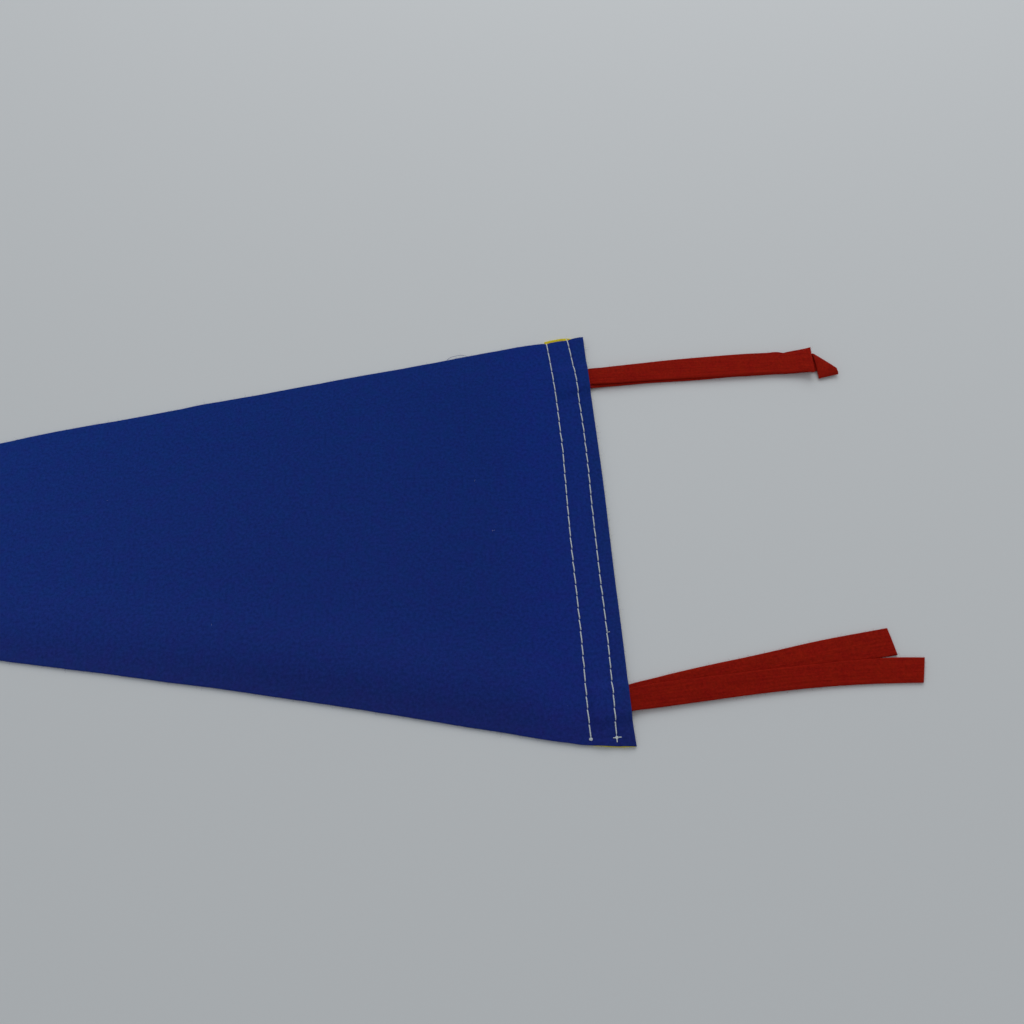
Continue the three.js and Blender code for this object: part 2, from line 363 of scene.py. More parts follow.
# %% Matted fibres
FIBRE_DIRECTIONS = (0.35, 1.4, 2.45)  # turns of the three layers of fibres, in radians
FIBRE_STRETCH = 7.0  # how much longer than wide a fibre is drawn
FIBRE_FLOOR = 0.42  # noise below this lies under the fibres
FIBRE_CONTRAST = 3.2
FIBRE_RELIEF = 0.6
MOTTLE_RELIEF = 0.8


def matted_fibres_group():
    """Fibres lying across each other in layers, with larger mottling under them."""
    group, given, result = new_group(
        "matted fibres",
        [
            ("Place", "NodeSocketVector", None),
            ("Fibre Width", "NodeSocketFloat", 0.0001),
            ("Mottle Size", "NodeSocketFloat", 0.002),
        ],
        ["Fibres", "Mottle", "Height"],
    )
    fine = math_node(group, "DIVIDE", 1.0, given["Fibre Width"])
    coarse = math_node(group, "DIVIDE", fine, FIBRE_STRETCH)
    stretch = add(group, "ShaderNodeCombineXYZ", {0: coarse, 1: fine, 2: 1.0}).outputs[0]
    layers = []
    for direction in FIBRE_DIRECTIONS:
        turned = add(group, "ShaderNodeVectorRotate", {"Vector": given["Place"], "Angle": direction})
        drawn = vector_node(group, "MULTIPLY", turned.outputs[0], stretch).outputs[0]
        layers.append(noise_in(group, drawn, 1.0, 2.0, Distortion=0.9))
    top_layer = math_node(group, "MAXIMUM", math_node(group, "MAXIMUM", *layers[:2]), layers[2])
    raised = math_node(group, "SUBTRACT", top_layer, FIBRE_FLOOR)
    fibres = math_node(group, "MULTIPLY", raised, FIBRE_CONTRAST, clamp=True)
    scale = math_node(group, "DIVIDE", 1.0, given["Mottle Size"])
    mottle = noise_in(group, given["Place"], scale, 4.0, Roughness=0.62)
    height = math_node(group, "ADD", math_node(group, "MULTIPLY", fibres, FIBRE_RELIEF),
                       math_node(group, "MULTIPLY", mottle, MOTTLE_RELIEF))
    feed(group, result, {"Fibres": fibres, "Mottle": mottle, "Height": height})
    return group


MATTED_FIBRES = matted_fibres_group()

# %% Cut edge
RAGGED_SCALE = 2200.0  # one over the width of the lumps, in metres


def cut_edge_group():
    """1 at a cut edge, where the fibres end, fading out raggedly over its width."""
    group, given, result = new_group(
        "cut edge",
        [
            ("From Edge", "NodeSocketFloat", 0.01),
            ("Place", "NodeSocketVector", None),
            ("Width", "NodeSocketFloat", 0.0006),
        ],
        ["Mask"],
    )
    ragged = math_node(group, "MULTIPLY", noise_in(group, given["Place"], RAGGED_SCALE, 2.0), 2.0)
    reach = math_node(group, "MULTIPLY", given["Width"], ragged)
    inward = math_node(group, "DIVIDE", given["From Edge"], reach)
    feed(group, result, {"Mask": math_node(group, "SUBTRACT", 1.0, inward, clamp=True)})
    return group


CUT_EDGE = cut_edge_group()

# %% Stray lint
BARE_SHARE = 0.72  # share of the places that get no fleck


def lint_group():
    """A few tiny flecks of lint caught in the nap."""
    group, given, result = new_group(
        "stray lint",
        [
            ("Place", "NodeSocketVector", None),
            ("Spacing", "NodeSocketFloat", 0.006),
            ("Fleck Size", "NodeSocketFloat", 0.00012),
        ],
        ["Mask"],
    )
    scale = math_node(group, "DIVIDE", 1.0, given["Spacing"])
    cells = add(group, "ShaderNodeTexVoronoi", {"Vector": given["Place"], "Scale": scale})
    distance = math_node(group, "MULTIPLY", cells.outputs["Distance"], given["Spacing"])
    outward = math_node(group, "DIVIDE", distance, given["Fleck Size"])
    fleck = math_node(group, "SUBTRACT", 1.0, outward, clamp=True)
    chance = add(group, "ShaderNodeSeparateColor", {0: cells.outputs["Color"]}).outputs[0]
    chosen = math_node(group, "GREATER_THAN", chance, BARE_SHARE)
    feed(group, result, {"Mask": math_node(group, "MULTIPLY", fleck, chosen)})
    return group


STRAY_LINT = lint_group()

# %% [markdown]
# ## The three felts
#
# Felt is dull: nothing mirrors in it, and its nap catches a little light at a slant,
# which the sheen of the Principled shader gives. The colour is never one flat value. It
# drifts over a few millimetres, as dyed wool does, and single fibres are paler or
# darker. One function mixes all that for two shades of the same dye. The ties get
# lengthwise streaks as well, because they were handled and pulled. A felt can also
# change slowly along a direction: the blue is duller toward the seam and darker and more
# violet along its lower edge. The reds are darker near the roots of the ties, which is
# painted shade where they come out of the seam.

# %% Parts of a cloth material
def new_material(name):
    """A new material, with its node tree and its Principled shader."""
    material = bpy.data.materials.new(name)
    material.use_nodes = True
    return material, material.node_tree, material.node_tree.nodes["Principled BSDF"]


def cloth_place(tree):
    """Where a point lay on the flat cloth."""
    return add(tree, "ShaderNodeAttribute", attribute_name="flat_place").outputs["Vector"]


def matted_fibres(tree, place, fibre_width, mottle_size):
    """The matted fibres of one cloth, with both sizes in mm."""
    inputs = {"Place": place, "Fibre Width": fibre_width * MM, "Mottle Size": mottle_size * MM}
    return add(tree, "ShaderNodeGroup", inputs, node_tree=MATTED_FIBRES).outputs


def shade(colour, factor):
    """The same colour, darker or paler."""
    return tuple(min(1.0, channel * factor) for channel in colour) + (1.0,)


def tint_and_painted_shade_over(tree, place, towards, shades):
    """A tint that changes along a direction, used both for slow colour drifts and for
    painted shade. shades are (distance in mm, share of each colour left)."""
    first, last = shades[0][0], shades[-1][0]
    distance = vector_node(tree, "DOT_PRODUCT", place, towards).outputs["Value"]
    along = add(tree, "ShaderNodeMapRange", {0: distance, 1: first * MM, 2: last * MM}).outputs[0]
    ramp = add(tree, "ShaderNodeValToRGB", {0: along})
    stops = ramp.color_ramp.elements
    ramp.color_ramp.interpolation = "EASE"
    stops.remove(stops[1])
    for k, (at, left) in enumerate(shades):
        stop = stops.new((at - first) / (last - first)) if k else stops[0]
        stop.color = left + (1.0,)
    return ramp.outputs[0]


# %% Felt materials
DRIFT_SIZE = 4  # lumps in which the dye drifts, in sizes of the mottling
DRIFT_CONTRAST = 3.0
DRIFT_START = -1.0
MOTTLE_TONE = 2.0  # how strongly the mottling and the fibres change the tone
FIBRE_TONE = 0.4
TONE_START = -0.7
STREAK_STRETCH = (60.0, 1700.0, 1.0)  # long along a strip and fine across it
DARK_FIBRE = 0.5  # shades of the dye that single fibres reach
PALE_FIBRE = 1.55
EDGE_SHADE = 1.5
EDGE_STRENGTH = 0.25
LINT_COLOUR = (0.35, 0.38, 0.45, 1.0)
LINT_STRENGTH = 0.35


def felt(name, colour, side_colour, fibre_width, mottle_size, streaks, relief, sheen, tints_and_painted_shade=()):
    """A felt of one dye, with a second tint that its mottling drifts to. Widths, sizes and
    relief are in mm. tints_and_painted_shade holds directions and the shades met along each:
    slow colour drifts, and painted shade near the roots of the ties."""
    material, tree, shader = new_material(name)
    place = cloth_place(tree)
    from_edge = add(tree, "ShaderNodeAttribute", attribute_name="from_edge").outputs["Fac"]
    matted = matted_fibres(tree, place, fibre_width, mottle_size)
    edge = add(tree, "ShaderNodeGroup", {"Place": place, "From Edge": from_edge}, node_tree=CUT_EDGE)
    lint = add(tree, "ShaderNodeGroup", {"Place": place}, node_tree=STRAY_LINT)

    drift = noise_in(tree, place, 1 / (DRIFT_SIZE * mottle_size * MM), 3.0)
    side = math_node(tree, "MULTIPLY_ADD", drift, DRIFT_CONTRAST, DRIFT_START, clamp=True)
    drawn = vector_node(tree, "MULTIPLY", place, STREAK_STRETCH).outputs[0]
    streak_height = math_node(tree, "MULTIPLY", noise_in(tree, drawn, 1.0, 3.0), streaks)
    streak_tone = math_node(tree, "SUBTRACT", streak_height, 0.5 * streaks)

    dye = mixed(tree, side, colour + (1.0,), side_colour + (1.0,))
    tone = math_node(tree, "MULTIPLY_ADD", matted["Mottle"], MOTTLE_TONE, TONE_START)
    tone = math_node(tree, "MULTIPLY_ADD", matted["Fibres"], FIBRE_TONE, tone)
    tone = math_node(tree, "ADD", tone, streak_tone, clamp=True)
    darker = mixed(tree, 0.5, dye, shade(colour, DARK_FIBRE))
    paler = mixed(tree, 0.5, dye, shade(colour, PALE_FIBRE))
    worked = mixed(tree, tone, darker, paler)
    at_edge = math_node(tree, "MULTIPLY", edge.outputs["Mask"], EDGE_STRENGTH)
    worked = mixed(tree, at_edge, worked, shade(colour, EDGE_SHADE))
    # Slow colour drifts, and painted shade near the roots of the ties, multiply the colour here.
    for towards, shades in tints_and_painted_shade:
        tint = tint_and_painted_shade_over(tree, place, towards, shades)
        worked = vector_node(tree, "MULTIPLY", worked, tint).outputs[0]
    on_lint = math_node(tree, "MULTIPLY", lint.outputs["Mask"], LINT_STRENGTH)
    worked = mixed(tree, on_lint, worked, LINT_COLOUR)

    height = math_node(tree, "ADD", matted["Height"], streak_height)
    bumps = {"Height": height, "Strength": 0.9, "Distance": relief * MM}
    feed(tree, shader, {
        "Base Color": worked,
        "Roughness": math_node(tree, "MULTIPLY_ADD", matted["Fibres"], -0.12, 0.98),
        "Normal": add(tree, "ShaderNodeBump", bumps).outputs[0],
        "Specular IOR Level": 0.04,
        "Sheen Weight": sheen,
        "Sheen Roughness": 0.45,
        "Sheen Tint": shade(colour, 3.0),
    })
    return material


ALONG_THE_FIELD = (1.0, 0.0, 0.0)
ACROSS_THE_FIELD = (0.204, 0.979, 0.0)  # square to its lower edge
ALONG_THE_TIE = (1.0, 0.0, 0.0)  # from one cut end to the other
LOWER_EDGE_AT = -74.6  # how far out the lower edge lies in that direction, mm
BLUE_SLOW_TINTS = [
    # Paler at the far left and duller toward the seam.
    (ALONG_THE_FIELD, [
        (-220, (0.85, 1.0, 1.0)), (-80, (0.8, 0.84, 0.86)), (-40, (0.76, 0.80, 0.84)),
        (-20, (0.78, 0.79, 0.93)), (-7, (0.78, 0.80, 0.90)), (0, (0.80, 0.80, 0.80)),
    ]),
    # Darker and more violet toward the lower edge.
    (ACROSS_THE_FIELD, [
        (LOWER_EDGE_AT, (1.0, 0.87, 0.85)), (LOWER_EDGE_AT + 14, (0.85, 0.98, 0.98)),
        (LOWER_EDGE_AT + 32, (0.75, 1.0, 1.0)), (LOWER_EDGE_AT + 112, (0.6, 1.0, 1.0)),
    ]),
]
# Painted shade: the ties grow darker toward their roots, about 100 mm along the strip, where they come out
# of the seam.
RED_ROOT_PAINTED_SHADE = [
    (ALONG_THE_TIE, [
        (0, (0.98, 1.0, 1.0)), (80, (0.95, 0.95, 0.95)), (100, (0.88, 0.88, 0.95)),
        (125, (0.95, 0.95, 0.97)), (185, (1.0, 1.0, 1.0)),
    ]),
]
BLUE_FELT = felt("blue felt", (0.0189, 0.0460, 0.275), (0.0293, 0.0345, 0.280), fibre_width=0.12,
                 mottle_size=1.0, streaks=0.0, relief=0.12, sheen=0.06, tints_and_painted_shade=BLUE_SLOW_TINTS)
YELLOW_FELT = felt("yellow felt", (0.93, 0.66, 0.032), (0.87, 0.58, 0.030), fibre_width=0.12,
                   mottle_size=1.0, streaks=0.0, relief=0.12, sheen=0.06)
RED_FELT = felt("red felt", (0.372, 0.0146, 0.0056), (0.320, 0.0066, 0.0058), fibre_width=0.11,
                mottle_size=0.9, streaks=1.1, relief=0.15, sheen=0.05, tints_and_painted_shade=RED_ROOT_PAINTED_SHADE)
print("felts:", BLUE_FELT.name, YELLOW_FELT.name, RED_FELT.name)

# %% [markdown]
# ## The thread
#
# The thread is thick bleached cotton, twisted from two plies. The plies are modelled, so
# the material only adds a fine fuzz and a trace of gloss.

# %% Thread material
def thread_material():
    """Bleached cotton with a fine fuzz."""
    material, tree, shader = new_material("white thread")
    matted = matted_fibres(tree, cloth_place(tree), 0.04, 0.9)
    bumps = {"Height": matted["Height"], "Strength": 0.7, "Distance": 0.03 * MM}
    feed(tree, shader, {
        "Base Color": mixed(tree, matted["Mottle"], (0.70, 0.76, 0.79, 1.0), (0.88, 0.93, 0.95, 1.0)),
        "Roughness": math_node(tree, "MULTIPLY_ADD", matted["Fibres"], 0.2, 0.6),
        "Normal": add(tree, "ShaderNodeBump", bumps).outputs[0],
        "Specular IOR Level": 0.3,
        "Sheen Weight": 0.3,
    })
    return material


WHITE_THREAD = thread_material()
print("thread:", WHITE_THREAD.name)

# %% [markdown]
# ## The two ties
#
# Each tie is one straight strip, folded in half so that its root is caught in the seam
# and both tails are free. A tail is a table of its middle, its width, the height of its
# underside, its tilt and the slant of its cut end. The roots are pressed thin between
# heading and field, and swell to full thickness outside. The lower tail of the upper tie
# ends in a small flap, turned over along a slanting fold. A strip is drawn as a row of
# lines across it, each with a left and a right end, from one cut end to the other, so the
# fold is no more than a few extra lines.

# %% Ties as rows of cross lines
TAIL_COLUMNS = "x y width height tilt slant"
TIE_THICKNESS = 0.9
PRESSED_THICKNESS = 0.55
PRESSED_UNTIL = -0.5
SWOLLEN_FROM = 6.0
LINE_STEP = 0.55  # between two cross lines, mm
UP = np.array([0.0, 0.0, 1.0])


def tie_thickness(x):
    """Thickness of a tie at x, thinner where it is caught in the seam."""
    swollen = soft_step((x - PRESSED_UNTIL) / (SWOLLEN_FROM - PRESSED_UNTIL))
    return PRESSED_THICKNESS + (TIE_THICKNESS - PRESSED_THICKNESS) * swollen


def tail_lines(rows, facing):
    """Cross lines of a tail, from its root to its free end. facing is 1 if the strip's
    outer face looks up."""
    x = np.arange(rows["x"][0], rows["x"][-1], LINE_STEP)
    x = np.append(x, rows["x"][-1])
    thickness = tie_thickness(x)
    y, width, height, tilt, slant = (read(rows, name, x) for name in TAIL_COLUMNS.split()[1:])
    along = np.column_stack([np.gradient(x), np.gradient(y), np.zeros(len(x))])
    along /= np.linalg.norm(along, axis=1)[:, None]
    across = np.column_stack([-along[:, 1], along[:, 0], tilt / width])
    middle = np.column_stack([x, y, height + thickness / 2])
    cut = along * slant[:, None] / 2
    reach = across * width[:, None] / 2
    return {
        "left": middle + reach + cut,
        "right": middle - reach - cut,
        "normal": np.tile(UP * facing, (len(x), 1)),
        "half": thickness / 2,
    }


def fold_lines(line, outward, rise, drift=0.0, steps=8):
    """Lines round a fold that starts at a line and ends above it, moved along by a drift."""
    angles = np.pi * np.arange(1, steps) / steps
    shift = np.outer(np.sin(angles), outward) * rise / 2 + np.outer(1 - np.cos(angles), UP) * rise / 2
    shift = shift + np.outer(angles / np.pi, np.ones(3)) * drift
    return {
        "left": line["left"] + shift,
        "right": line["right"] + shift,
        "normal": np.outer(np.sin(angles), outward) - np.outer(np.cos(angles), UP),
        "half": np.full(len(angles), line["half"]),
    }


def one_line(lines, k):
    """A single cross line out of several."""
    return {key: values[k] for key, values in lines.items()}


def blend_lines(start, end, steps, sag=0.0):
    """Lines between two others, with both of them; a sag bows them up in the middle."""
    t = np.linspace(0, 1, steps + 1)[:, None]
    bow = UP * sag * 4 * t * (1 - t)
    return {
        "left": start["left"] * (1 - t) + end["left"] * t + bow,
        "right": start["right"] * (1 - t) + end["right"] * t + bow,
        "normal": np.tile(end["normal"], (steps + 1, 1)),
        "half": np.linspace(start["half"], end["half"], steps + 1),
    }


def joined(*parts):
    """Several runs of lines as one."""
    return {key: np.concatenate([part[key] for part in parts]) for key in parts[0]}


def backwards(lines):
    """The same lines in the other order."""
    return {key: values[::-1] for key, values in lines.items()}


def after_first(lines):
    """All lines but the first, which another run of lines already has."""
    return {key: values[1:] for key, values in lines.items()}


# %% Tails of the ties
UPPER_TIE_BELOW = table(
    TAIL_COLUMNS,
    (-9.5, 56.6, 7.2, 0.85), (-1.5, 57.7, 7.4, 0.85), (0.5, 58.0, 7.6, 0.76),
    (2.5, 58.18, 7.5, 0.5), (5.0, 58.4, 7.45, 0.35), (9.0, 58.67, 7.55, 0.22),
    (14.0, 58.98, 7.6, 0.12), (20.0, 59.28, 7.65, 0.08), (42.0, 59.65, 7.8, 0.02),
    (50.0, 59.97, 7.6, 0.02), (58.0, 60.08, 7.75, 0.03), (68.0, 60.1, 7.7, 0.04),
    (74.0, 60.0, 7.6, 0.05),
)
UPPER_TIE_ABOVE = table(
    TAIL_COLUMNS,
    (-9.5, 56.6, 7.2, 1.42), (-1.5, 58.2, 6.8, 1.42), (0.5, 58.85, 6.85, 1.34),
    (2.5, 58.86, 6.9, 1.45), (5.0, 58.74, 6.85, 1.55), (9.0, 58.89, 7.1, 1.5, 0.1),
    (14.0, 59.15, 7.35, 1.42, 0.1), (20.0, 59.52, 7.65, 1.3), (31.0, 60.03, 8.2, 1.14, 0.1),
    (42.0, 60.23, 8.65, 1.15, 0.1), (58.0, 60.5, 9.1, 1.10), (66.6, 60.47, 9.1, 1.08),
    (68.75, 60.41, 9.25, 1.12, 0.1), (69.75, 60.22, 8.95, 1.17, 0.1),
    (71.0, 60.06, 8.75, 1.22, 0.1), (73.25, 60.12, 9.05, 1.45, 0.1), (76.75, 60.2, 9.4, 1.9, 0.1),
    (80.75, 59.9, 10.9, 2.5, 0.1, -0.2),
)
LOWER_TIE_BELOW = table(
    TAIL_COLUMNS,
    (-9.5, -63.1, 7.8, 0.85), (-1.5, -61.45, 7.9, 0.85), (0.5, -60.9, 8.0, 0.66),
    (2.5, -60.3, 8.1, 0.24), (5.0, -59.8, 8.15, 0.06), (9.0, -59.12, 8.2, 0.02),
    (14.0, -58.2, 8.3, 0.02), (20.0, -57.2, 8.4, 0.02), (42.0, -53.95, 8.6, 0.06, 0.1),
    (62.0, -50.8, 8.9, 0.02), (83.5, -48.2, 9.05, 0.02),
)
LOWER_TIE_ABOVE = table(
    TAIL_COLUMNS,
    (-9.5, -62.8, 7.6, 1.42), (-1.5, -62.0, 7.1, 1.42), (0.5, -61.78, 7.0, 1.34, 0.1),
    (2.5, -61.46, 7.1, 1.16, 0.3), (5.0, -61.22, 7.2, 0.98, 0.5), (9.0, -60.88, 7.35, 0.97, 0.55),
    (20.0, -60.13, 7.2, 0.92, 0.7), (42.0, -58.65, 7.0, 0.8, 0.8), (62.0, -57.83, 7.18, 0.62, 0.75),
    (74.0, -57.62, 7.75, 0.46, 0.55), (83.0, -57.75, 8.1, 0.27, 0.3, 0.9),
    (90.9, -58.17, 8.1, 0.12, 0.0, 1.95),
)


def slanting_line(left, right, half, normal):
    """A cross line given by its two ends and the height of its underside there."""
    return {"left": left + UP * half, "right": right + UP * half, "normal": normal, "half": half}


FLAP_GAP = 0.15  # between the flap and the tail under it, mm
FLAP_DRIFT = np.array([1.24, -1.25, 0.0])  # a slanting fold carries the strip sideways
FLAP_FOLD = np.array([[80.58, 64.16, 0.03], [87.85, 56.9, 0.03]])
FLAP_END = np.array([[82.15, 53.05, 0.35], [89.4, 54.4, 0.5]])
FLAP_SAG = 0.3
FLAP_LINES = 16


def turned_over_end(last_line):
    """The end of the upper tie's lower tail, from its cut flap back to the tail."""
    half = TIE_THICKNESS / 2
    rise = TIE_THICKNESS + FLAP_GAP
    fold = slanting_line(*FLAP_FOLD, half, -UP)
    above = slanting_line(*(FLAP_FOLD + FLAP_DRIFT + UP * rise), half, UP)
    flap = slanting_line(*FLAP_END, half, UP)
    across = fold["left"] - fold["right"]
    outward = np.array([across[1], -across[0], 0.0])
    outward /= np.linalg.norm(outward)
    out = after_first(blend_lines(last_line, fold, FLAP_LINES))
    back = blend_lines(above, flap, FLAP_LINES, sag=FLAP_SAG)
    return backwards(joined(out, fold_lines(fold, outward, rise, FLAP_DRIFT), back))


def tie_lines(below, above, end=None):
    """All cross lines of a tie, from the cut end of its lower tail to that of its upper."""
    lower = tail_lines(below, -1)
    upper = tail_lines(above, 1)
    rise = above["height"][0] - below["height"][0]
    root = fold_lines(one_line(lower, 0), np.array([-1.0, 0.0, 0.0]), rise)
    start = [end(one_line(lower, -1))] if end else []
    return joined(*start, backwards(lower), root, upper)


# %% Cloth of the ties
EDGE_STEPS = np.array([0.0, 0.1, 0.24, 0.5])  # extra points near a cut edge, mm
CROWN = 0.10  # how much a tie's middle stands above its edges, mm
POINTS_ACROSS = 13  # points across a tie, without the extra ones near its edges


def spread(low, high, count):
    """This many places spread from low to high, and extra ones near both ends."""
    inside = np.linspace(low + EDGE_STEPS[-1], high - EDGE_STEPS[-1], count)
    return np.concatenate([low + EDGE_STEPS[:-1], inside, high - EDGE_STEPS[:-1][::-1]])


def dress(piece, node):
    """Lets a piece of cloth stand for one of the solids."""
    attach(piece, BODY)
    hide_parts(node)


def tie_columns(lines):
    """Columns of points for a tie, one for each cross line."""
    centre = (lines["left"] + lines["right"]) / 2
    run = np.concatenate([[0], np.cumsum(np.linalg.norm(np.diff(centre, axis=0), axis=1))])
    columns = []
    for k, along in enumerate(run):
        left, right = lines["left"][k], lines["right"][k]
        width = np.linalg.norm(left - right)
        across = spread(0, width, POINTS_ACROSS)
        share = across / width
        middle = right + np.outer(share, left - right)
        middle += np.outer(CROWN * (1 - (2 * share - 1) ** 2), UP)
        edge = np.minimum(np.minimum(across, width - across), min(along, run[-1] - along))
        columns.append({
            "middle": middle,
            "normal": np.tile(lines["normal"][k], (len(share), 1)),
            "half": np.full(len(share), lines["half"][k]),
            "share": share,
            "place": np.column_stack([np.full(len(share), along), across]),
            "edge": edge,
        })
    return columns


upper_tie_columns = tie_columns(tie_lines(UPPER_TIE_BELOW, UPPER_TIE_ABOVE, turned_over_end))
lower_tie_columns = tie_columns(tie_lines(LOWER_TIE_BELOW, LOWER_TIE_ABOVE))
upper_tie = sheet_object("upper_tie", upper_tie_columns, RED_FELT)
lower_tie = sheet_object("lower_tie", lower_tie_columns, RED_FELT)
dress(upper_tie, "tie_top")
dress(lower_tie, "tie_bottom")

# %% [markdown]
# ## The heading strip
#
# The heading is a plain strip whose ends were cut a little askew. The upper one sticks
# out past the field. At the lower one all layers were pressed thin. The strip lies flat,
# and its underside has a groove where each row of thread sinks in, so that the thread
# doesn't lift the flag off the table.

# %% Heading
HEADING_EDGE = -0.4
HEADING_WIDTH = 13.9
HEADING_UPPER_END = table("x y", (-HEADING_WIDTH, 76.4), (-10.0, 77.15), (-6.3, 77.45), (-4.6, 77.2),
                          (-2.5, 76.75), (HEADING_EDGE, 76.75))
HEADING_LOWER_END = table("x y", (-HEADING_WIDTH, -74.35), (-7.0, -75.42), (HEADING_EDGE, -75.88))
HEADING_TOP = 0.8
THREAD_RADIUS = 0.215
STANDS_OUT = 0.16  # how high the thread's middle lies above the cloth, mm
GROOVE_ROOF = THREAD_RADIUS + STANDS_OUT + 0.01  # keeps the lower thread just off the table
OFF_TABLE = 0.02  # keeps the underside and the table from lying in one plane, mm
GROOVE_WIDTH = 0.6
HOLE_ROOF = 0.12  # how much deeper the groove is at a needle hole, mm
HOLE_WIDTH = 0.4
ROW_SINK = 0.04  # how far a row of thread draws the upper face down, mm
ROW_WIDTH = 0.7
THINNEST = 0.08  # the least that is left of a cloth at a needle hole, mm
FINE_STEP = 0.45
LOWER_CORNER = -76.0
PRESSED_SHARE = 0.56  # share of the thickness left at the lower corner
PRESSED_REACH = 11.0
END_WOBBLE = 0.1  # how far the scissors strayed at the ends, mm


def pressed_share(y):
    """Share of the thickness left near the lower end of the seam, where it was pressed."""
    return PRESSED_SHARE + (1 - PRESSED_SHARE) * soft_step((y - LOWER_CORNER) / PRESSED_REACH)


def heading_faces(x, y):
    """Heights of the heading's lower and upper face."""
    to_row, to_hole = near_rows(x, y)
    lower = OFF_TABLE + GROOVE_ROOF * bump(to_row, GROOVE_WIDTH) + HOLE_ROOF * bump(to_hole, HOLE_WIDTH)
    upper = HEADING_TOP * pressed_share(y) - ROW_SINK * bump(to_row, ROW_WIDTH)
    upper = np.maximum(upper + 0.02 * uneven(x, y, 6, 3.1), lower + THINNEST)
    return lower, upper


def spread_points(low, high, step):
    """Places from low to high, a step apart, with extra ones near both ends."""
    return spread(low, high, max(2, round((high - low - 2 * EDGE_STEPS[-1]) / step) + 1))


def flat_column(x, low, high, step, faces, from_ends):
    """A column of points of a sheet that lies level, from its lower to its upper edge."""
    y = spread_points(low, high, step)
    xs = x + read(HOIST_BOW, "outward", y) * soft_step(1 + x / BOW_REACH)
    lower, upper = faces(xs, y)
    return {
        "middle": np.column_stack([xs, y, (lower + upper) / 2]),
        "normal": np.tile(UP, (len(y), 1)),
        "half": (upper - lower) / 2,
        "share": (y - low) / (high - low),
        "place": np.column_stack([xs, y]),
        "edge": np.minimum(np.minimum(y - low, high - y), from_ends),
    }


heading_columns = []
for x in spread_points(-HEADING_WIDTH, HEADING_EDGE, FINE_STEP):
    low = read(HEADING_LOWER_END, "y", x) + END_WOBBLE * uneven(x, 0, 2.5, 8.3)
    high = read(HEADING_UPPER_END, "y", x) + END_WOBBLE * uneven(x, 0, 2.5, 9.7)
    to_side = min(x + HEADING_WIDTH, HEADING_EDGE - x)
    heading_columns.append(flat_column(x, low, high, FINE_STEP, heading_faces, to_side))
heading = sheet_object("heading_strip", heading_columns, YELLOW_FELT)
dress(heading, "heading")

# %% [markdown]
# ## The field
#
# The field is the largest piece, and the one where the light shows every rise. It lies on
# the table with low swells and a low ridge along its lower edge, climbs onto the heading,
# is drawn down along both rows of stitches and puffs up between them. Over the roots of
# the ties it stands a little higher. Each of these is a line or two in the function
# below, added to the height of the sheet, so any one of them can be changed alone. A
# cloth simulation could drape it, but a sheet this stiff and flat is set by its seams and
# its cut, not by its weight.

# %% The shape of the field
UPPER_EDGE = table(
    "x y",
    (-FIELD_LENGTH, 11.8), (-300.0, 29.8), (-203.0, 45.47), (-184.0, 49.1), (-160.0, 52.7),
    (-145.0, 55.1), (-136.5, 56.75), (-128.0, 58.02), (-120.0, 59.15), (-90.0, 64.05),
    (-60.0, 68.65), (-34.0, 72.9), (-25.5, 74.05), (-17.0, 74.77), (-10.5, 75.08), (-6.0, 75.8),
    (-3.0, 76.48), (0.0, 77.0),
)
LOWER_EDGE = table(
    "x y",
    (-FIELD_LENGTH, 9.3), (-300.0, -13.05), (-190.0, -35.54), (-141.0, -45.61), (-98.0, -54.88),
    (-57.0, -64.52), (-36.0, -69.55), (-22.0, -72.97), (-14.0, -74.59), (-7.0, -75.44),
    (0.0, -75.95),
)
SWELLS = table(
    "x y reach_x reach_y height",
    (-95, -8, 75, 75, 1.2), (-215, 2, 90, 60, 1.0), (-330, 8, 70, 30, 0.6),
)
LUMPS = ((0.22, 34, 1.7), (0.05, 11, 4.2))  # height and size in mm, and seed
FLAT_MARGIN = 12  # the swells come down to the table over this far from an edge, mm
FIELD_THICKNESS = 0.9
LAYER_GAP = 0.04
SLOPE_START = -34.0
SLOPE_END = -14.6
ROOTS = (UPPER_TIE_ABOVE, LOWER_TIE_ABOVE)
ROOT_END = -10.1
ROOT_RISE = 1.12  # two pressed layers of tie
ROOT_SLOPE = 4.2
SEAM_PUFF = 0.34
MARGIN_PUFF = 0.22
ROW_DIP = 0.28  # how far the thread draws the field down along a row, mm
DIP_WIDTH = 0.75
HOLE_HOLLOW = 0.08  # how much more in a hollow round each needle hole, mm
HOLLOW_WIDTH = 1.6
HOLE_DIP = 0.35  # and how much more in the hole itself, mm
HOLE_DIP_WIDTH = 0.45
RIDGE_HEIGHT = 1.5
RIDGE_WIDTH = 10
RIDGE_INWARD = 15.0  # how far in from the lower edge the ridge runs
RIDGE_FOOT = 8
RIDGE_START = -260.0  # the ridge begins here and has its full height at the next place
RIDGE_FULL = -100.0
EDGE_LIFT = 0.15  # how far the lower edge stands off the table, mm
LIFT_WIDTH = 6


def root_rise(x, y):
    """How much the folded root of a tie lifts the field."""
    rise = 0.0
    for rows in ROOTS:
        beside = np.abs(y - read(rows, "y", x)) - read(rows, "width", x) / 2
        behind = ROOT_END - x
        on_root = soft_step(1 - beside / ROOT_SLOPE) * soft_step(1 - behind / ROOT_SLOPE)
        rise = rise + ROOT_RISE * on_root
    return rise


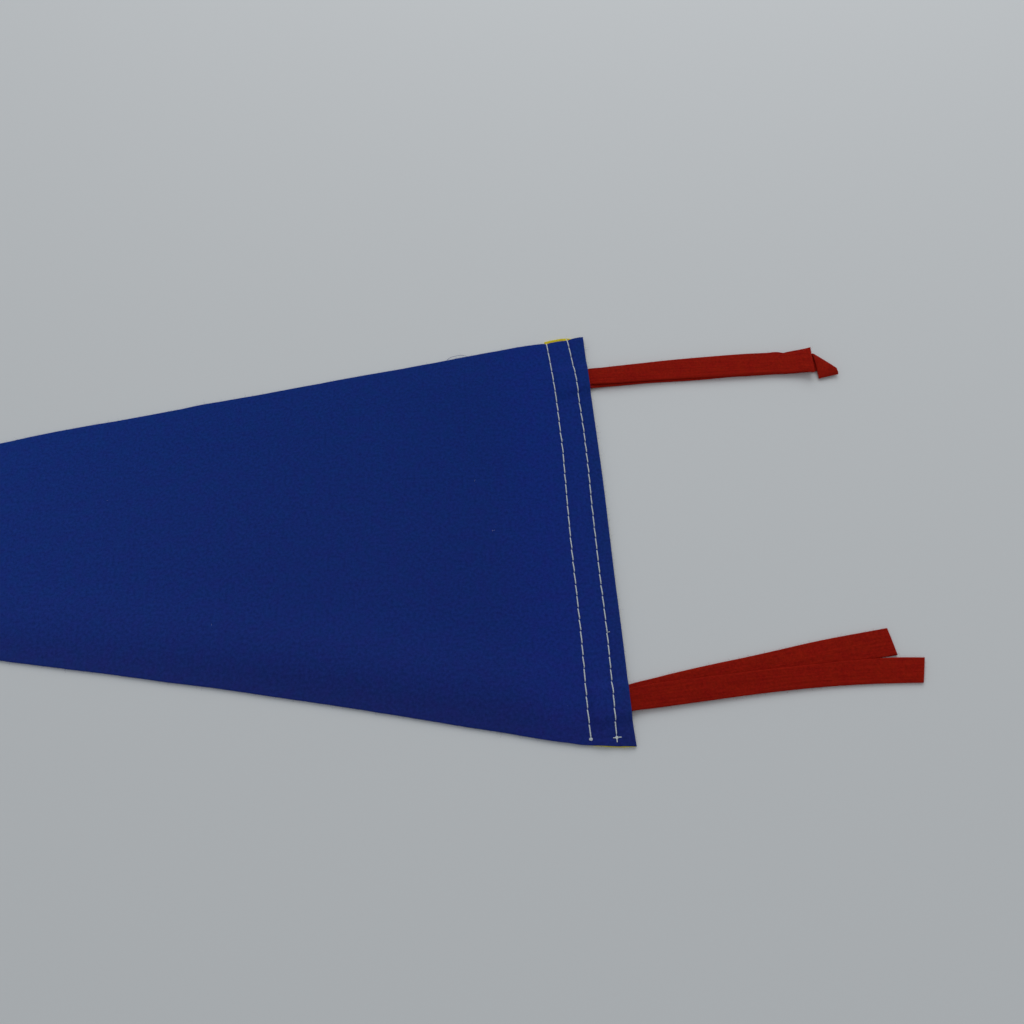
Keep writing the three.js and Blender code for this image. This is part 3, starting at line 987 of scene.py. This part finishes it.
def field_faces(x, y):
    """Heights of the field's lower and upper face."""
    from_lower = y - read(LOWER_EDGE, "y", x)
    from_upper = read(UPPER_EDGE, "y", x) - y
    swell = 0.0
    for swell_x, swell_y, reach_x, reach_y, height in zip(*SWELLS.values()):
        outward = ((x - swell_x) / reach_x) ** 2 + ((y - swell_y) / reach_y) ** 2
        swell = swell + height * np.clip(1 - outward, 0, 1) ** 2
    for height, size, seed in LUMPS:
        swell = swell + height * (1 + uneven(x, y, size, seed))
    swell = swell * soft_step(from_lower / FLAT_MARGIN) * soft_step(from_upper / FLAT_MARGIN)
    ridge = RIDGE_HEIGHT * bump(from_lower - RIDGE_INWARD, RIDGE_WIDTH) * soft_step(from_lower / RIDGE_FOOT)
    ridge = ridge + EDGE_LIFT * bump(from_lower, LIFT_WIDTH)
    ridge = ridge * soft_step((x - RIDGE_START) / (RIDGE_FULL - RIDGE_START))

    on_heading = soft_step((x - SLOPE_START) / (SLOPE_END - SLOPE_START))
    seam_x, hem_x = (read(row, "x", y) for row in ROWS)
    between = np.clip((x - seam_x) / (hem_x - seam_x), 0, 1)
    margin = np.clip((x - hem_x) / (0 - hem_x), 0, 1)
    puff = SEAM_PUFF * np.sin(np.pi * between) + MARGIN_PUFF * np.sin(np.pi * margin)
    rest = (HEADING_TOP * pressed_share(y) + LAYER_GAP) * on_heading
    lower = (swell + ridge) * (1 - on_heading) + rest + puff * on_heading + root_rise(x, y)

    to_row, to_hole = near_rows(x, y)
    drawn_in = ROW_DIP * bump(to_row, DIP_WIDTH) + HOLE_HOLLOW * bump(to_hole, HOLLOW_WIDTH)
    drawn_in = drawn_in + HOLE_DIP * bump(to_hole, HOLE_DIP_WIDTH)
    pressed = 1 - (1 - pressed_share(y)) * on_heading
    upper = lower + np.maximum(FIELD_THICKNESS * pressed - drawn_in, THINNEST)
    return lower, upper


def field_top(x, y):
    """Height of the face that shows."""
    return field_faces(x, y)[1]


# %% Cloth of the field
COARSE_STEP = 2.2
FINE_FROM = -17.5  # from here to the hoist edge the columns are finer
SLOW_WAVES = (0.13, 9)  # height and length of what the scissors strayed, mm
SMALL_WAVES = (0.05, 2)


def field_places():
    """Where the columns of the field stand, finer over the seam."""
    coarse = np.arange(-FIELD_LENGTH + EDGE_STEPS[-1], FINE_FROM, COARSE_STEP)
    fine = np.arange(FINE_FROM, -EDGE_STEPS[-1], FINE_STEP)
    return np.concatenate([-FIELD_LENGTH + EDGE_STEPS[:-1], coarse, fine, -EDGE_STEPS[::-1]])


def wobble(x, seed):
    """How far the scissors strayed from a long edge at x."""
    (slow, slow_length), (small, small_length) = SLOW_WAVES, SMALL_WAVES
    return slow * uneven(x, 0, slow_length, seed + 10) + small * uneven(x, 0, small_length, seed)


field_columns = []
for x in field_places():
    low = read(LOWER_EDGE, "y", x) + wobble(x, 2.6)
    high = read(UPPER_EDGE, "y", x) + wobble(x, 5.2)
    step = FINE_STEP if x >= FINE_FROM else COARSE_STEP
    field_columns.append(flat_column(x, low, high, step, field_faces, min(x + FIELD_LENGTH, -x)))
field = sheet_object("field_cloth", field_columns, BLUE_FELT)
dress(field, "field")

# %% [markdown]
# ## The stitches
#
# Each stitch is a short length of thread that comes up out of one hole, lies on the cloth
# and goes down the next. A curve with a round bevel would look like wire. Sewing thread
# is twisted, so two thin plies are wound round each stitch's own path. The small dark gap
# between stitches is then real: it is the dip where the thread goes down.

# %% Tubes and twisted thread
def path_frames(path):
    """Two directions square to a path, carried along it without twisting."""
    along = np.gradient(path, axis=0)
    along /= np.linalg.norm(along, axis=1)[:, None]
    side = np.cross(along[0], UP if abs(along[0][2]) < 0.9 else np.array([1.0, 0.0, 0.0]))
    sides = []
    for direction in along:
        side = side - direction * side.dot(direction)
        side = side / np.linalg.norm(side)
        sides.append(side)
    sides = np.array(sides)
    return sides, np.cross(along, sides)


def add_tube(points, faces, path, radius, corners):
    """Adds a closed tube of this many corners along a path of points."""
    first, second = path_frames(path)
    radius = np.broadcast_to(radius, len(path))
    start = len(points)
    for centre, a, b, r in zip(path, first, second, radius):
        for k in range(corners):
            angle = 2 * np.pi * k / corners
            points.append(centre + r * (math.cos(angle) * a + math.sin(angle) * b))
    for ring in range(len(path) - 1):
        base = start + ring * corners
        for k in range(corners):
            after = (k + 1) % corners
            faces.append((base + k, base + after, base + corners + after, base + corners + k))
    faces.append(tuple(start + k for k in reversed(range(corners))))
    faces.append(tuple(len(points) - corners + k for k in range(corners)))


TWIST_LENGTH = 0.95  # one turn of the plies, mm
PLIES = 2
PLY_RADIUS = 0.12
PLY_CORNERS = 6


def add_thread(points, faces, path, turn=0.0):
    """Adds a twisted thread along a path: its plies wind round each other."""
    first, second = path_frames(path)
    run = np.concatenate([[0], np.cumsum(np.linalg.norm(np.diff(path, axis=0), axis=1))])
    for ply in range(PLIES):
        angle = (2 * np.pi * (run / TWIST_LENGTH + ply / PLIES) + turn)[:, None]
        wound = path + (THREAD_RADIUS - PLY_RADIUS) * (np.cos(angle) * first + np.sin(angle) * second)
        add_tube(points, faces, wound, PLY_RADIUS, PLY_CORNERS)


FAR_FROM_EDGE = 1.0  # metres, so that a thread or fibre shows no cut edge


def small_object(name, points, faces, material):
    """An object of small tubes that ride with the flag."""
    points = np.array(points)
    piece = new_piece(name, points, faces, points * MM, np.full(len(points), FAR_FROM_EDGE), material)
    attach(piece, BODY)
    return piece


# %% Rows of stitches on both sides
STITCH_POINTS = 30
STITCH_TRIM = 0.02  # share of a stitch lost in each hole
STITCH_SLANT = 0.16  # how much a stitch leans across its row, mm
FLATNESS = 9  # a higher power keeps more of a stitch flat on the cloth
BURIED = 0.5  # how deep the thread is at a hole, mm
SLACK_FROM = 45.0  # above this y the thread was pulled less, so the stitches run together
SLACK_REACH = 25.0
SLACK_UPRIGHT = 0.8  # share of the lean that a slack stitch loses
SLACK_RAISED = 0.5  # share of the depth at a hole that it loses


def stitch_path(start, end, height_at, side, slant):
    """The middle of one stitch from hole to hole. side is 1 on top and -1 below."""
    t = np.linspace(STITCH_TRIM, 1 - STITCH_TRIM, STITCH_POINTS)
    slack = soft_step((start[1] - SLACK_FROM) / SLACK_REACH)
    x = start[0] + (end[0] - start[0]) * t + slant * (1 - SLACK_UPRIGHT * slack) * (t - 0.5)
    y = start[1] + (end[1] - start[1]) * t
    arch = 1 - np.abs(2 * t - 1) ** FLATNESS
    deep = BURIED * (1 - SLACK_RAISED * slack)
    z = height_at(x, y) + side * (arch * (STANDS_OUT + deep) - deep)
    return np.column_stack([x, y, z])


def stitched_row(name, holes, height_at, side, seed):
    """All stitches of one row on one side of the flag."""
    rng = random.Random(seed)
    points, faces = [], []
    places = np.column_stack(holes)
    for start, end in zip(places, places[1:]):
        slant = STITCH_SLANT * rng.uniform(0.3, 1.7)
        path = stitch_path(start, end, height_at, side, slant)
        add_thread(points, faces, path, rng.uniform(0, 2 * np.pi))
    return small_object(name, points, faces, WHITE_THREAD)


def seam_top(x, y):
    """Height of the cloth under the upper thread: the field, or the heading past its end."""
    covered = soft_step((read(UPPER_EDGE, "y", x) - y) / 0.5)
    return field_top(x, y) * covered + heading_faces(x, y)[1] * (1 - covered)


def seam_bottom(x, y):
    """Height just under the roof of the groove that the lower thread lies in."""
    return np.full(x.shape, GROOVE_ROOF)


stitches = [
    stitched_row("inner_stitches_top", HOLES[0], seam_top, 1, 21),
    stitched_row("outer_stitches_top", HOLES[1], seam_top, 1, 22),
    stitched_row("inner_stitches_under", HOLES[0], seam_bottom, -1, 23),
    stitched_row("outer_stitches_under", HOLES[1], seam_bottom, -1, 24),
]

# %% [markdown]
# ## The knots
#
# Both rows end near the lower corner. The inner one stops in a small round knot. The
# outer one is tied off with the end drawn across it, so it looks like a little cross with
# a short tail. A knot is the same twisted thread wound round a small ball, and the arms
# of the cross are plain strands. A single ply has also slipped out of one stitch further
# up and stands off it as a tiny nib.

# %% Knots
def round_knot(centre, radius, turns):
    """A path wound round a small ball."""
    t = np.linspace(0, 1, 60)
    around = 2 * np.pi * turns * t
    down = np.pi * (0.12 + 0.62 * t)
    wide = np.sin(down)
    ball = np.column_stack([np.cos(around) * wide, np.sin(around) * wide, 0.8 * np.cos(down)])
    return centre + radius * ball


def smooth_path(corners, count):
    """A smooth path of this many points through a few corners."""
    corners = np.array(corners, float)
    run = np.concatenate([[0], np.cumsum(np.linalg.norm(np.diff(corners, axis=0), axis=1))])
    at = np.linspace(0, run[-1], count)
    named = {"run": run, "x": corners[:, 0], "y": corners[:, 1], "z": corners[:, 2]}
    return np.column_stack([read(named, name, at) for name in "xyz"])


def on_field(x, y, lift):
    """A point this much above the field."""
    return (x, y, float(field_top(np.array([x]), np.array([y]))[0]) + lift)


ARM_RADIUS = 0.15
NIB_RADIUS = 0.09
CROSS_ARM = [(-6.2, -73.0, 0.06), (-5.8, -73.05, 0.2), (-5.15, -72.95, 0.4), (-4.5, -72.95, 0.2),
             (-3.75, -72.95, 0.06)]
CROSS_TAIL = [(-5.1, -72.2, -0.05), (-5.12, -72.6, 0.2), (-5.2, -73.2, 0.24), (-5.15, -73.7, 0.2),
              (-5.2, -74.35, 0.1)]
NIB = [(-4.4, -39.9, 0.1), (-4.1, -39.6, 0.3), (-3.75, -39.45, 0.28), (-3.4, -39.5, 0.12)]


def tied(name, strands=(), radius=0.0, count=0, ball=None):
    """Strands and a knot. A strand has corners given as x, y and height above the field. A
    ball is given by its middle, in the same way, its radius and its turns of thread."""
    points, faces = [], []
    for corners in strands:
        path = smooth_path([on_field(*corner) for corner in corners], count)
        add_tube(points, faces, path, radius, PLY_CORNERS)
    if ball:
        middle, size, turns = ball
        add_thread(points, faces, round_knot(np.array(on_field(*middle)), size, turns))
    return small_object(name, points, faces, WHITE_THREAD)


round_end = tied("inner_knot", ball=((-12.75, -72.9, 0.16), 0.38, 2.6))
crossed_end = tied("outer_knot", [CROSS_ARM, CROSS_TAIL], ARM_RADIUS, 24,
                   ball=((-5.15, -72.95, 0.2), 0.3, 1.7))
slipped_ply = tied("slipped_ply", [NIB], NIB_RADIUS, 12)

# %% [markdown]
# ## Loose fibres
#
# Seen closely, a cut felt edge is never clean: short fibres stick out of it and soften the
# outline. They are made as thin tapering tubes, one or two for each millimetre of edge.
# Hair particles would do, but real tubes survive an export. One longer fibre has worked
# loose at the upper edge, and a few specks of lint lie on the field.

# %% Fibres along the cut edges
FIBRES_PER_MM = 1.3
FIBRE_RADIUS = 0.022
FIBRE_TIP = 0.4  # share of the radius left at the tip
FIBRE_CORNERS = 3
SHORTEST = 0.22
LONGEST = 1.5
ROOT_DEPTH = 0.08  # how far inside the cloth a fibre begins, mm


def add_fibre(points, faces, start, direction, length, bend, radius):
    """Adds one thin fibre that leaves start in a direction and bends as it goes."""
    t = np.linspace(0, 1, 5)[:, None]
    path = start + direction * length * t + bend * length * t * t
    path[:, 2] = np.maximum(path[:, 2], radius)
    taper = np.linspace(radius, radius * FIBRE_TIP, len(path))
    add_tube(points, faces, path, taper, FIBRE_CORNERS)


def edge_fibres(name, columns, material, seed):
    """Short fibres that stick out along the whole cut edge of a sheet."""
    rng = random.Random(seed)
    loop = rim_loop(columns)
    middle = np.array([columns[c]["middle"][k] for c, k in loop])
    normal = np.array([columns[c]["normal"][k] for c, k in loop])
    half = np.array([columns[c]["half"][k] for c, k in loop])
    points, faces = [], []
    for k in range(len(loop)):
        start, end = middle[k], middle[(k + 1) % len(loop)]
        span = np.linalg.norm(end - start)
        along = (end - start) / max(span, 1e-6)
        outward = np.cross(along, normal[k])
        chances = span * FIBRES_PER_MM
        for _ in range(int(chances) + (rng.random() < chances % 1)):
            root = start + (end - start) * rng.random() + normal[k] * half[k] * rng.uniform(-0.8, 0.8)
            direction = outward + along * rng.gauss(0, 0.7) + UP * rng.gauss(0.05, 0.35)
            bend = np.array([rng.gauss(0, 0.35) for _ in range(3)])
            length = min(LONGEST, SHORTEST + rng.expovariate(4.0))
            direction /= np.linalg.norm(direction)
            add_fibre(points, faces, root - outward * ROOT_DEPTH, direction, length, bend, FIBRE_RADIUS)
    return small_object(name, points, faces, material)


fuzz = {
    "field": edge_fibres("field_edge_fibres", field_columns, BLUE_FELT, 31),
    "heading": edge_fibres("heading_edge_fibres", heading_columns, YELLOW_FELT, 32),
    "upper tie": edge_fibres("upper_tie_edge_fibres", upper_tie_columns, RED_FELT, 33),
    "lower tie": edge_fibres("lower_tie_edge_fibres", lower_tie_columns, RED_FELT, 34),
}

# %% A long loose fibre and lint
LOOSE_FIBRE_RADIUS = 0.06
LOOSE_FIBRE = [(-49.6, 70.3, 0.9), (-48.0, 71.4, 1.0), (-46.5, 71.9, 0.9), (-44.7, 72.25, 0.8),
               (-43.3, 72.05, 0.8), (-41.4, 71.1, 0.7)]
LINT_PLACES = ((-42.1, 18.5, 2), (-37.6, -1.0, 2), (-164.2, 19.2, 1), (-126.4, -29.1, 1))
LINT_LIFT = 0.12
LINT_SPREAD = 0.12
LINT_LENGTH = 0.5
LINT_CURL = 0.6
LINT_RADIUS = 0.018

points, faces = [], []
add_tube(points, faces, smooth_path(LOOSE_FIBRE, 40), LOOSE_FIBRE_RADIUS, 5)
loose_fibre = small_object("loose_fibre", points, faces, BLUE_FELT)

points, faces = [], []
rng = random.Random(41)
for x, y, count in LINT_PLACES:
    for _ in range(count):
        aside = [rng.gauss(0, LINT_SPREAD), rng.gauss(0, LINT_SPREAD), 0]
        root = np.array(on_field(x, y, LINT_LIFT)) + aside
        direction = np.array([rng.gauss(0, 1), rng.gauss(0, 1), 0.15])
        curl = np.array([rng.gauss(0, LINT_CURL), rng.gauss(0, LINT_CURL), 0])
        direction /= np.linalg.norm(direction)
        add_fibre(points, faces, root, direction, LINT_LENGTH, curl, LINT_RADIUS)
lint = small_object("lint", points, faces, WHITE_THREAD)

# %% [markdown]
# ## The four sheets
#
# The field, the heading and the two ties are all made now. The field is a triangle,
# about half of the rectangle round it.

print("four sheets made")

# %% [markdown]
# ## The floor and the light
#
# The light is soft daylight from behind, about 42 degrees up, so the shadows are blurred
# and only a few millimetres wide, and it falls off toward the near side. A pale world
# gives the fill, and one large area light gives the direction and the fall-off. The floor
# is plain and pale, so that nothing competes with the flag.

# %% Floor
FLOOR_REACH = 3.0
floor_material, _, floor_shader = new_material("pale floor")
floor_shader.inputs["Base Color"].default_value = (0.79, 0.81, 0.825, 1.0)
floor_shader.inputs["Roughness"].default_value = 0.95
floor_shader.inputs["Specular IOR Level"].default_value = 0.1
corners = [(x * FLOOR_REACH, y * FLOOR_REACH, 0) for x, y in ((-1, -1), (1, -1), (1, 1), (-1, 1))]
floor_mesh = bpy.data.meshes.new("floor")
floor_mesh.from_pydata(corners, [], [(0, 1, 2, 3)])
floor_mesh.materials.append(floor_material)
in_scene("floor", floor_mesh)

# %% Light
world = bpy.data.worlds.new("soft daylight")
world.use_nodes = True
background = world.node_tree.nodes["Background"]
background.inputs["Color"].default_value = (0.93, 0.97, 1.0, 1.0)
background.inputs["Strength"].default_value = 0.375
bpy.context.scene.world = world

KEY_PLACE = Vector((0.12, 0.72, 0.66))
KEY_POWER = 3.05
key_data = bpy.data.lights.new("window light", "AREA")
key_data.shape = "DISK"
key_data.size = 0.9
key_data.energy = KEY_POWER
aimed("window light", key_data, KEY_PLACE, Vector())
bpy.context.scene.view_settings.view_transform = "Standard"
print("light:", KEY_POWER, "W")
